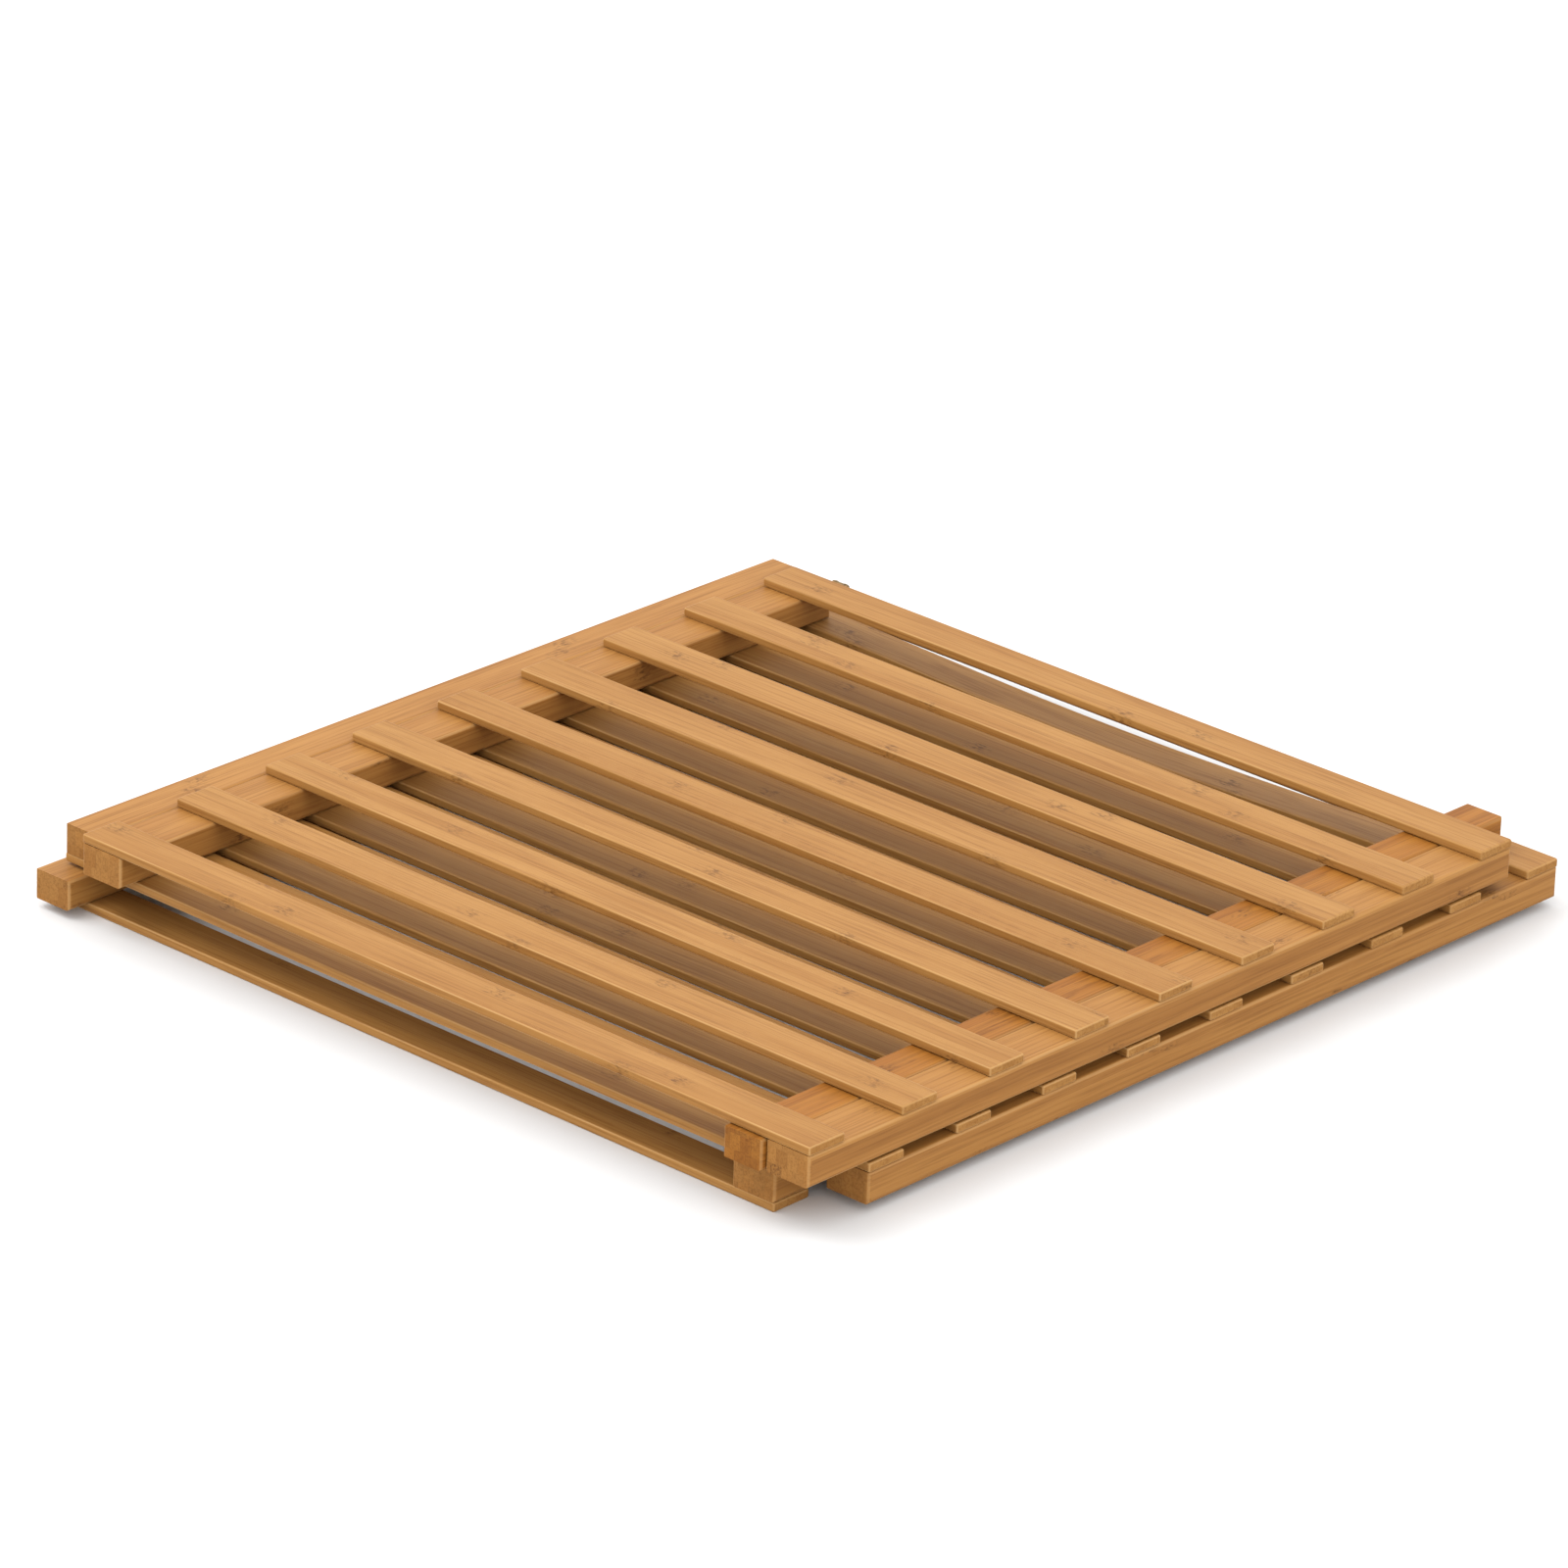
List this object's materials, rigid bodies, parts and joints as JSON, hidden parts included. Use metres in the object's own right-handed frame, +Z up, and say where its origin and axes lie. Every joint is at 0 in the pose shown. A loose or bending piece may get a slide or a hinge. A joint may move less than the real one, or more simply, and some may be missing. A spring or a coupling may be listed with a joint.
{
  "type": "bath mat",
  "caption": "Slatted bamboo bath mat that folds in two like a book about a hinge at the far edge, shown folded.",
  "frame": {"origin": "middle of the folded mat's footprint, on the floor", "axes": "+X along the slats, +Y along the rails towards the hinge, +Z up"},
  "size_m": [0.532, 0.579, 0.05],
  "materials": {
    "bamboo": "satin lacquer",
    "hinge_brass": "dulled",
    "screw_steel": "zinc plated"
  },
  "bodies": {
    "lower_half": {"lower_base_bar_left": "bamboo", "lower_base_rail_right": "bamboo", "lower_base_slat_1": "bamboo", "lower_base_slat_2": "bamboo", "lower_base_slat_3": "bamboo", "lower_base_slat_4": "bamboo", "lower_base_slat_5": "bamboo", "lower_base_slat_6": "bamboo", "lower_base_slat_7": "bamboo", "lower_base_slat_8": "bamboo", "lower_base_slat_9": "bamboo", "lower_face_rail_left": "bamboo", "lower_face_rail_right": "bamboo", "lower_face_slat_1": "bamboo", "lower_face_slat_2": "bamboo", "lower_face_slat_3": "bamboo", "lower_face_slat_4": "bamboo", "lower_face_slat_5": "bamboo", "lower_face_slat_6": "bamboo", "lower_face_slat_7": "bamboo", "lower_face_slat_8": "bamboo", "lower_face_slat_9": "bamboo", "lower_strap_left": "hinge_brass", "lower_strap_right": "hinge_brass", "lower_strap_screws": "screw_steel", "hinge_pin_left": "hinge_brass", "hinge_pin_right": "hinge_brass", "hinge_spacer_left": "hinge_brass", "hinge_spacer_right": "hinge_brass"},
    "upper_half": {"upper_base_bar_left": "bamboo", "upper_base_bar_right": "bamboo", "upper_base_slat_1": "bamboo", "upper_base_slat_2": "bamboo", "upper_base_slat_3": "bamboo", "upper_base_slat_4": "bamboo", "upper_base_slat_5": "bamboo", "upper_base_slat_6": "bamboo", "upper_base_slat_7": "bamboo", "upper_base_slat_8": "bamboo", "upper_base_slat_9": "bamboo", "upper_face_rail_left": "bamboo", "upper_face_rail_right": "bamboo", "upper_face_slat_1": "bamboo", "upper_face_slat_2": "bamboo", "upper_face_slat_3": "bamboo", "upper_face_slat_4": "bamboo", "upper_face_slat_5": "bamboo", "upper_face_slat_6": "bamboo", "upper_face_slat_7": "bamboo", "upper_face_slat_8": "bamboo", "upper_face_slat_9": "bamboo", "upper_strap_left": "hinge_brass", "upper_strap_right": "hinge_brass", "upper_strap_screws": "screw_steel"}
  },
  "joints": [
    {"name": "fold", "type": "hinge", "parent": "lower_half", "child": "upper_half", "pos_m": [0, 0.28604, 0.025], "axis": [-1, 0, 0], "range_deg": [0, 180]}
  ]
}
